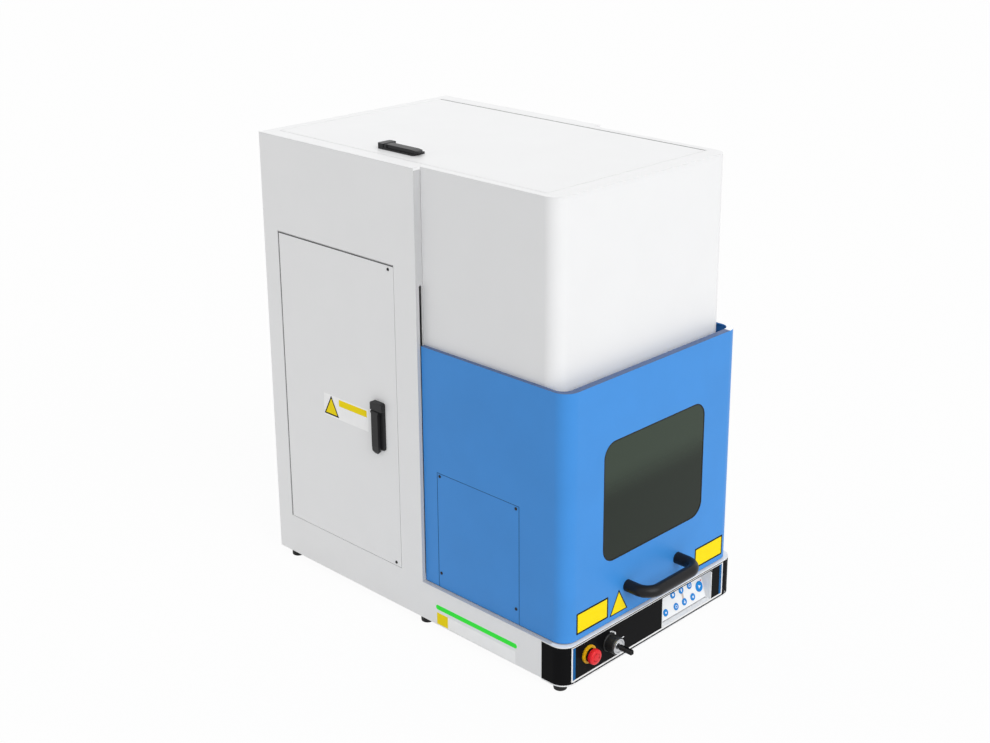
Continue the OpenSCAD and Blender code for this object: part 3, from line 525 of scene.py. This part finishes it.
# Painted shade on each panel's face turned in at the front: a greyer plate round the slot for the
# brackets, where the inner corner lies in shade
SLIP = 0.3
RETURN_GAP = 0.4
SLOT_INSET, SLOT_WIDTH = 3, 6
SLOT_TOP = 596.5
TOP_INSET = 2
bay_y = high("upper_housing").y
deck_top = high("base_deck").z
top_edge = high("side_panel_left").z - TOP_INSET
return_start, return_end = high("upper_housing").x + RETURN_GAP, -side_x - SLIP
slot_middle = hood_half - SLOT_INSET
slot_start = slot_middle - SLOT_WIDTH / 2 - SLIP
slot_end = slot_middle + SLOT_WIDTH / 2 + SLIP
for side, name in ((-1, "left"), (1, "right")):
    boxes = [(slot_end, return_end, deck_top, top_edge),
             (return_start, slot_start, deck_top, top_edge),
             (slot_start, slot_end, SLOT_TOP, top_edge)]
    shapes = [box_outline(side * x0, side * x1, z0, z1) for x0, x1, z0, z1 in boxes]
    plates("return_shade_" + name, FRONT, (0, bay_y, 0), shapes, RETURN_PAINTED_SHADE, "cabinet",
           top=0.15)

# The narrow ledge of the deck beside the hood gets the same painted shade, greyer than the deck
LEDGE_FRONT = -296
LEDGE_INSET = 0.2
ledge_start, ledge_end = hood_half + RETURN_GAP, -side_x - LEDGE_INSET
ledges = [box_outline(side * ledge_end, side * ledge_start, LEDGE_FRONT, bay_y - SLIP)
          for side in (-1, 1)]
plates("deck_ledge", TOP, (0, 0, deck_top), ledges, RETURN_PAINTED_SHADE, "cabinet",
       top=0.08)

# The lid carries a dark strip of painted seam shade along its right edge, in the same way
LID_SEAM_WIDTH = 1.6
lid_low, lid_high = low("top_lid"), high("top_lid")
seam_end = lid_high.x - EDGE_INSET
seam = box_outline(seam_end - LID_SEAM_WIDTH, seam_end, lid_low.y + EDGE_INSET,
                   lid_high.y - EDGE_INSET)
plates("lid_seam", TOP, (0, 0, lid_high.z), [seam], SEAM_PAINTED_SHADE, "lid", top=0.08)

# Screws of the rear panel and its fan
REAR_SIDE, REAR_END = 9, 14
REAR_ROWS = 5
FAN_EDGE = 7.5
rear_y = high("rear_panel").y
rear_x = high("rear_panel").x - REAR_SIDE
rear_low, rear_high = low("rear_panel").z + REAR_END, high("rear_panel").z - REAR_END
rear_spots = [(side * rear_x, rear_y, rear_low + (rear_high - rear_low) * i / (REAR_ROWS - 1))
              for side in (-1, 1) for i in range(REAR_ROWS)]
turned("rear_screws", REAR, rear_spots, BUTTON_HEAD, FINISHES["steel"], "cabinet",
       socket=BUTTON_SOCKET)
fan_low, fan_high = low("fan_housing"), high("fan_housing")
fan_spots = [(x, rear_y, z) for x in (fan_low.x + FAN_EDGE, fan_high.x - FAN_EDGE)
             for z in (fan_low.z + FAN_EDGE, fan_high.z - FAN_EDGE)]
turned("fan_screws", REAR, fan_spots, BUTTON_HEAD, FINISHES["steel"], "cabinet",
       socket=BUTTON_SOCKET)

# ----------------------------------------------------------- control panel

fascia_y = low("fascia").y

# Lines round the fascia: thin bands that follow the front of the base and its corners
BASE_CORNER = 25
base_half = -low("corner_wraps").x
wrap_back = high("corner_wraps").y
rim_top = deck_top - 1
panel_low, panel_high = low("fascia").z, high("fascia").z
base_foot = low("base_tray").z
STRIPS = ((-198, -192), (178, 184))
POST = 3.2


def front_path(offset, half=base_half, back=wrap_back):
    """The base's outline round its front, between two ends further back."""
    half, front, radius = half + offset, fascia_y - offset, BASE_CORNER + offset
    return ([(-half, back)] + front_corner(half, front, radius, -1)
            + front_corner(half, front, radius, 1) + [(half, back)])


def front_run(offset, depth, start, end):
    """Outline of a band along the front of the base, between two places across it."""
    rows = []
    for step in (offset, offset - depth):
        row = [p for p in front_path(step) if start < p[0] < end]
        if start > -base_half:
            row.insert(0, (start, fascia_y - step))
        if end < base_half:
            row.append((end, fascia_y - step))
        rows.append(row)
    return rows[0] + rows[1][::-1]


# Bands run all round the front, or on both corners outside the white posts
WHOLE = (-base_half - 1, base_half + 1)
CORNERS = ((WHOLE[0], STRIPS[0][0] - POST), (STRIPS[1][1] + POST, WHOLE[1]))


def front_bands(name, runs, foot, top, slot, offset=0.15, depth=0.45):
    """Bands that follow the front and its rounded corners."""
    outlines = [front_run(offset, depth, *run) for run in runs]
    return plates(name, TOP, (0, 0, 0), outlines, FINISHES[slot], "cabinet", top=top,
                  bottom=foot)


def front_bars(name, spans, foot, top, material, proud=0.15):
    """Flat bars on the front, between two heights."""
    shapes = [box_outline(x0, x1, foot, top) for x0, x1 in spans]
    return plates(name, FRONT, (0, fascia_y, 0), shapes, material, "cabinet", top=proud)


# Heights of the lines, from the rim's top down, and the lap of one band over another
LINE_DROP, LINE_HEIGHT = 0.8, 1.4
WHITE_HEIGHT = 1.6
RECESS_DROP = 1.5
LIP_LINE = 2.5
LAP = 0.2
recess_low, recess_high = low("control_recess").x - SLIP, high("control_recess").x + SLIP
panel_end = high("fascia").x
line_top = rim_top - LINE_DROP
line_foot = line_top - LINE_HEIGHT
white_line = line_foot - WHITE_HEIGHT
recess_top = white_line - RECESS_DROP
rim_foot = panel_high + SLIP
overlap = panel_high - LAP
front_bands("rim_line_black", [WHOLE], line_foot, line_top, "black_panel")
front_bands("rim_corners", CORNERS, overlap, line_foot, "black_panel")
front_bars("rim_fascia", [(STRIPS[0][1], recess_low), (recess_high, STRIPS[1][0])],
           overlap, white_line, FINISHES["black_panel"])
front_bars("rim_fascia_recess", [(recess_low, recess_high)], recess_top, white_line,
           FINISHES["black_panel"])
strips = front_bars("light_bars", STRIPS, panel_low, white_line, FINISHES["blue_strip"],
                    0.3)
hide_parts("light_strips")
front_bars("panel_ends", [(STRIPS[0][1], -panel_end + 1), (CORNERS[1][0], CORNERS[1][0] + 10)],
           panel_low, panel_high, FINISHES["black_panel"])
front_bars("panel_posts", [(STRIPS[0][0] - POST, STRIPS[0][0]), (STRIPS[1][1], CORNERS[1][0])],
           panel_low - SLIP, white_line, FINISHES["white_plastic"], 0.2)
# The black band along the foot of the front is painted shade under the base's front edge
front_bands("lip_shade_line", [WHOLE], base_foot, base_foot + LIP_LINE, "black_panel")
front_bands("lip_corners", CORNERS, base_foot + LIP_LINE - 0.1, panel_low, "black_panel")

# The deck and the fascia, with an opening for the keypad that reaches above the fascia
DECK = 3
SHEET = 2
PANEL_SHEET = 3
STOP_HOLE, SWITCH_HOLE = 11, 12
deck_plan = front_path(0, high("base_deck").x, high("base_deck").y)
deck = plates("deck_plate", TOP, (0, 0, 0), [deck_plan], FINISHES["white_sheet"], "cabinet",
              top=deck_top, bottom=deck_top - DECK)
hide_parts("base_deck")
front_bands("deck_rim", [WHOLE], recess_top, rim_top - SHEET, "white_sheet", 0, SHEET)
front_bands("deck_rim_low", [(WHOLE[0], recess_low), (recess_high, WHOLE[1])], rim_foot,
            recess_top, "white_sheet", 0, SHEET)
panel_height = panel_high - panel_low
panel_middle = (panel_high + panel_low) / 2
panel_parts = []
stop = (low("estop_collar") + high("estop_collar")) / 2
switch = (low("key_switch") + high("key_switch")) / 2
between = (stop.x + switch.x) / 2
edges = (-panel_end, between, 2 * switch.x - between, recess_low)
for centre, radius, start, end in ((stop, STOP_HOLE, edges[0], edges[1]),
                                   (switch, SWITCH_HOLE, edges[1], edges[2])):
    outline = rounded(end - start, panel_height, 0.05, (start + end) / 2, panel_middle)
    panel_parts.append((outline, circle(radius, centre.x, centre.z, len(outline))))
for start, end in ((edges[2], edges[3]), (recess_high, panel_end)):
    panel_parts.append(rounded(end - start, panel_height, 0.05, (start + end) / 2, panel_middle))
panel = plates("fascia_panel", FRONT, (0, fascia_y, 0), panel_parts, FINISHES["black_panel"],
               "cabinet", top=0, bottom=-PANEL_SHEET)
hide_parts("fascia")

# Sole under the front, and the feet
SOLE = 2.4
FOOT = [(9.6, 0.05), (10.6, 0.8), (11, 2.5)]
FOOT_LEFT, FOOT_RIGHT = 13.5, 58
FOOT_FRONT, FOOT_MIDDLE, FOOT_BACK = 20, -3, 32
plates("front_sole", TOP, (0, 0, 0), [front_path(-0.1)], FINISHES["white_sheet"], "cabinet",
       top=base_foot - 0.05, bottom=base_foot - SOLE)
foot_rows = (fascia_y + FOOT_FRONT, FOOT_MIDDLE, high("rear_panel").y - FOOT_BACK)
spots = [(x, y, 0) for x in (-base_half + FOOT_LEFT, base_half - FOOT_RIGHT) for y in foot_rows]
for name, row, height in (("feet_front", foot_rows[:1], base_foot - SOLE),
                          ("feet_rear", foot_rows[1:], base_foot)):
    feet = turned(name, TOP, [p for p in spots if p[1] in row],
                  FOOT + [(FOOT[-1][0], height)], FINISHES["rubber"], "cabinet")
    if name == "feet_rear":
        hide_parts("feet")

# Stop button: a stepped collar, and a short drum with three arrows
COLLAR_RADIUS, COLLAR_HOLE = 15.3, 11.2
STEP_RADIUS = 14
STEP_FOOT, STEP_TOP = 2.6, 4
DRUM = [(11.6, 8.4), (12.6, 9.0), (12.75, 9.8), (12.75, 14.2), (12.4, 15.6), (11.5, 16.6),
        (10.2, 17.0)]
ARROW_RING, ARROW_SPAN = 6.6, 72
ARROW_LEAD = 4
STROKE = 1.5


def washer(radius, hole):
    return circle(radius, count=FINE_SIDES), circle(hole, count=FINE_SIDES)


def curved_arrow(radius, start, end, size, lean=0, count=16):
    """A curved stroke from angle to angle, with its head just before the start."""
    tip = start - ARROW_LEAD
    return [band(radius, STROKE, start, end, count),
            arrow_head(radius * math.cos(math.radians(tip)), radius * math.sin(math.radians(tip)),
                       tip - 90 + lean, size)]


stop_place = (stop.x, fascia_y, stop.z)
collar = plates("collar_plate", FRONT, stop_place, [washer(COLLAR_RADIUS, COLLAR_HOLE)],
                COLLAR_YELLOW, "cabinet", top=STEP_FOOT, bottom=0.02)
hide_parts("estop_collar")
plates("collar_step", FRONT, stop_place, [washer(STEP_RADIUS, COLLAR_HOLE)], COLLAR_YELLOW,
       "cabinet", top=STEP_TOP, bottom=STEP_FOOT - 0.05)
drum = turned("estop_drum", FRONT, [stop_place], DRUM, FINISHES["red_plastic"], "estop_head",
              sides=FINE_SIDES)
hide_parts("estop_button")
arrows = []
for start in (95, 215, 335):
    arrows += curved_arrow(ARROW_RING, start, start + ARROW_SPAN, 2.2, count=10)
plates("estop_arrows", FRONT, (stop.x, fascia_y - DRUM[-1][1], stop.z), arrows, ARROW_RED,
       "estop_head", top=0.06)

# Key switch: a bright ring on its face, the flat key, and the marks round it
RING_RADIUS, RING_HOLE = 12.6, 10.2
KEY_START, KEY_END = 1.5, 49
KEY_HEIGHT, KEY_CORNER = 8.6, 2.6
KEY_HALF, RIM_HALF = 1.5, 2.1
GROOVE_HEIGHT, GROOVE_CORNER = 3.4, 1.2
GROOVE_INSET = 3
MARK_RING = 17.3
bezel_face = low("key_switch").y
plates("key_switch_ring", FRONT, (switch.x, bezel_face, switch.z),
       [washer(RING_RADIUS, RING_HOLE)], FINISHES["steel"], "key_cylinder", top=1.3)
grip_start, grip_end = bezel_face - KEY_START, fascia_y - KEY_END
grip_middle = (grip_start + grip_end) / 2
grip_length = grip_start - grip_end
grip = rounded(grip_length, KEY_HEIGHT, KEY_CORNER, -grip_middle, switch.z)
groove = rounded(grip_length - 2 * GROOVE_INSET, GROOVE_HEIGHT, GROOVE_CORNER, -grip_middle,
                 switch.z)
blade = plates("key_flat", LEFT, (switch.x, 0, 0), [grip], FINISHES["dark_plastic"],
               "key_cylinder", top=KEY_HALF, bottom=-KEY_HALF)
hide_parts("key")
plates("key_rims", LEFT, (switch.x, 0, 0), [(grip, groove)], FINISHES["dark_plastic"],
       "key_cylinder", top=RIM_HALF, bottom=-RIM_HALF)
turn_marks = curved_arrow(MARK_RING, 34, 84, 3.2, lean=2)
turn_marks += [[(5.2, 12.6), (8.2, 15.9), (9.4, 14.8), (6.4, 11.5)],
               rounded(6.5, 1.6, 0.6, 34, -6.5)]
plates("key_switch_marks", FRONT, (switch.x, fascia_y, switch.z), turn_marks, PRINT_WHITE,
       "cabinet", top=0.1)

# Keypad: the plate leans back, so the keys' tops are worked out in its own plane
TILT = math.radians(19)
PAD = (X, Vector((0, math.sin(TILT), math.cos(TILT))))
CAP_EDGE = 0.3
KEY_PROUD = 0.8


def key_top(node):
    """Middle of a key's top face."""
    first, last = low(node), high(node)
    normal = PAD[0].cross(PAD[1])
    size = last.x - first.x
    centre = (first + last) / 2
    thick = ((last.z - first.z) - size * math.cos(TILT)) / math.sin(TILT)
    return centre + normal * (thick / 2 + CAP_EDGE)


def icon(node, shapes):
    body = "button_" + node[-1]
    plates("icon_" + node, PAD, key_top(node), shapes, PRINT_WHITE, body,
           top=0.08, bottom=-0.03)


def bar(width, height, cx=0.0, cy=0.0):
    return rounded(width, height, min(width, height) * 0.2, cx, cy)


def arrow(direction):
    return [[(-2.6, direction * 0.2), (2.6, direction * 0.2), (0, direction * 3.2)][::direction],
            bar(1.5, 3.2, 0, -direction * 1.2)]


icon("key_1", [bar(4.2, 4.2)])
icon("key_2", arrow(1))
icon("key_3", [(rounded(5, 5, 0.6), rounded(3.4, 3.4, 0.3))])
icon("key_4", [[(-2.2, -3.2), (3.6, 0), (-2.2, 3.2)]])
icon("key_5", [circle(1.7)])
icon("key_6", [(circle(2.8), circle(1.9))])
icon("key_7", arrow(-1))
icon("key_8", [star(6, 3.0, 1.3)])


def on_plate(name, node, shapes, material, top=0.06):
    """Marks on the keypad plate, measured from the middle of a key."""
    plates(name, PAD, key_top(node) - PAD[0].cross(PAD[1]) * KEY_PROUD, shapes, material,
           "cabinet", top=top)


on_plate("keypad_link", "key_2", [rounded(4.6, 10, 1, 0.8, -10.6)], PRINT_SAND)
on_plate("keypad_lamp", "key_4", [circle(1.3, 6.8, 8.7, 16)], LED_RED, top=0.5)
on_plate("keypad_line", "key_7", [rounded(127, 0.9, 0.3, -9.5, -11.4)], PRINT_GREY)

# ------------------------------------------------------------------- studio

# Place in metres, turn and drop in degrees, lens in mm, shift in shares of the picture's width
CAMERA_PLACE = (-1.7721, -1.7214, 1.3437)
CAMERA_TURN = 46.55
CAMERA_DROP = 18.44
CAMERA_LENS = 56.42
CAMERA_SHIFT = (-0.0333, -0.0722)

camera_data = bpy.data.cameras.new("camera")
camera_data.lens = CAMERA_LENS
camera_data.shift_x, camera_data.shift_y = CAMERA_SHIFT
camera_data.clip_end = 100
camera = bpy.data.objects.new("camera", camera_data)
camera.location = CAMERA_PLACE
camera.rotation_euler = (math.radians(90 - CAMERA_DROP), 0, -math.radians(CAMERA_TURN))
bpy.context.scene.collection.objects.link(camera)
bpy.context.scene.camera = camera


def seen_directly(tree):
    """1 for rays from the camera, a mirror or glass, and 0 for light that only bounces."""
    path = tree.nodes.new("ShaderNodeLightPath")
    total = path.outputs["Is Camera Ray"]
    for other in ("Is Glossy Ray", "Is Transmission Ray"):
        joined = tree.nodes.new("ShaderNodeMath")
        joined.operation = "MAXIMUM"
        tree.links.new(total, joined.inputs[0])
        tree.links.new(path.outputs[other], joined.inputs[1])
        total = joined.outputs[0]
    return total


AMBIENT = 0.55

world = bpy.data.worlds.new("studio")
world.use_nodes = True
bpy.context.scene.world = world
tree = world.node_tree
tree.nodes.clear()
ambient = new_node(tree, "ShaderNodeBackground", Color=(1, 1, 1, 1), Strength=AMBIENT)
backdrop = new_node(tree, "ShaderNodeBackground", Color=(1, 1, 1, 1), Strength=1)
chosen = tree.nodes.new("ShaderNodeMixShader")
tree.links.new(seen_directly(tree), chosen.inputs[0])
tree.links.new(ambient.outputs[0], chosen.inputs[1])
tree.links.new(backdrop.outputs[0], chosen.inputs[2])
output = tree.nodes.new("ShaderNodeOutputWorld")
tree.links.new(chosen.outputs[0], output.inputs["Surface"])

FLOOR_GREY = 0.8
FLOOR_GLOW = 0.95
FLOOR_HALF = 20

floor_material = bpy.data.materials.new("floor_pale")
floor_material.use_nodes = True
tree = floor_material.node_tree
tree.nodes.clear()
paper = new_node(tree, "ShaderNodeBsdfDiffuse", Color=(FLOOR_GREY, FLOOR_GREY, FLOOR_GREY, 1))
glow = new_node(tree, "ShaderNodeEmission", Color=(1, 1, 1, 1), Strength=1)
share = tree.nodes.new("ShaderNodeMath")
share.operation = "MULTIPLY"
share.inputs[1].default_value = FLOOR_GLOW
tree.links.new(seen_directly(tree), share.inputs[0])
surface = tree.nodes.new("ShaderNodeMixShader")
tree.links.new(share.outputs[0], surface.inputs[0])
tree.links.new(paper.outputs[0], surface.inputs[1])
tree.links.new(glow.outputs[0], surface.inputs[2])
output = tree.nodes.new("ShaderNodeOutputMaterial")
tree.links.new(surface.outputs[0], output.inputs["Surface"])

floor_mesh = bmesh.new()
floor_mesh.faces.new([floor_mesh.verts.new((sx * FLOOR_HALF, sy * FLOOR_HALF, 0))
                      for sx, sy in ((-1, -1), (1, -1), (1, 1), (-1, 1))])
floor_data = bpy.data.meshes.new("floor")
floor_mesh.to_mesh(floor_data)
floor_mesh.free()
floor_data.materials.append(floor_material)
floor = bpy.data.objects.new("floor", floor_data)
bpy.context.scene.collection.objects.link(floor)


def sun(name, towards, level, spread_angle):
    """A distant soft lamp. level is how bright it makes a white face that meets it squarely."""
    data = bpy.data.lights.new(name, "SUN")
    data.energy = level * math.pi
    data.angle = math.radians(spread_angle)
    lamp = bpy.data.objects.new(name, data)
    lamp.rotation_euler = Vector(towards).to_track_quat("Z", "Y").to_euler()
    bpy.context.scene.collection.objects.link(lamp)


sun("key", (-0.12, -0.64, 0.52), 0.58, 50)
sun("rear_fill", (0.6, 0.7, 0.4), 0.16, 90)

scene = bpy.context.scene
scene.view_settings.view_transform = "Standard"
